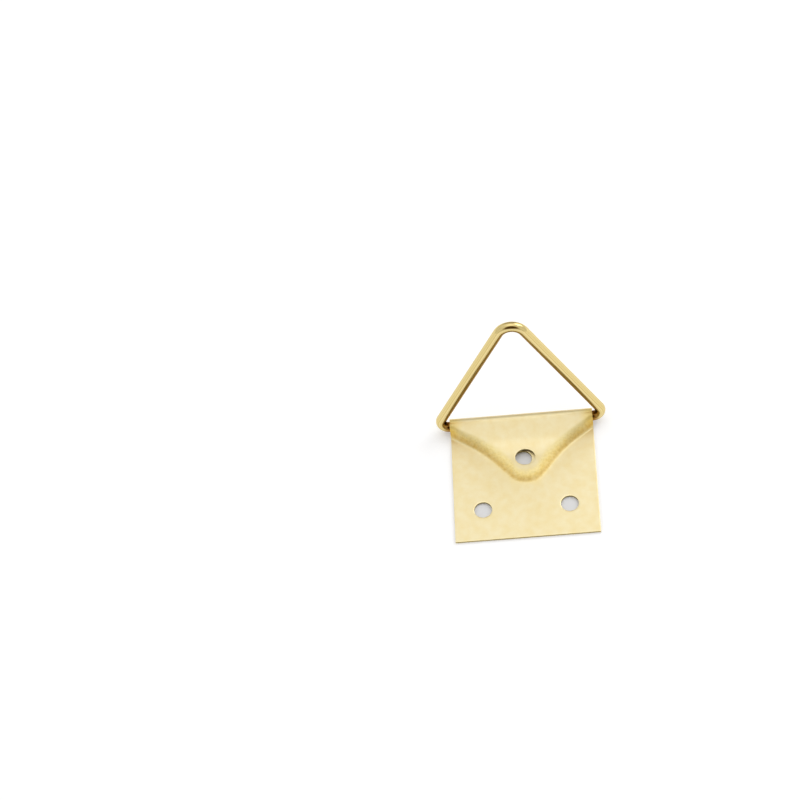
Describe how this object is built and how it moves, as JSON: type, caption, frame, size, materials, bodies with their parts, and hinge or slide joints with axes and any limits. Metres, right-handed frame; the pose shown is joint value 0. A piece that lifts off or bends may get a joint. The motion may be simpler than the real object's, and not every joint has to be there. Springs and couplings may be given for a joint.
{
  "type": "folding picture hanger",
  "caption": "Thin brass plate folded over the base of a triangular wire ring; it is screwed to a frame's back and the ring swings up to hang on a hook.",
  "frame": {"origin": "midway between the two lower screw holes, on the plate's back face", "axes": "+X along the fold, to the right as seen from the front; +Y across the plate towards the fold; +Z out of the plate's front"},
  "size_m": [0.0298, 0.0279, 0.0255],
  "materials": {
    "plate_brass": "thin rolled sheet, plated, satin to bright",
    "ring_brass": "drawn wire, plated, bright"
  },
  "bodies": {
    "plate": {"hanger_plate": "plate_brass"},
    "ring": {"wire_ring": "ring_brass"}
  },
  "joints": [
    {"name": "ring_swing", "type": "hinge", "parent": "plate", "child": "ring", "pos_m": [0, 0.017, 0.00135], "axis": [1, 0, 0], "range_deg": [-80, 99]}
  ]
}
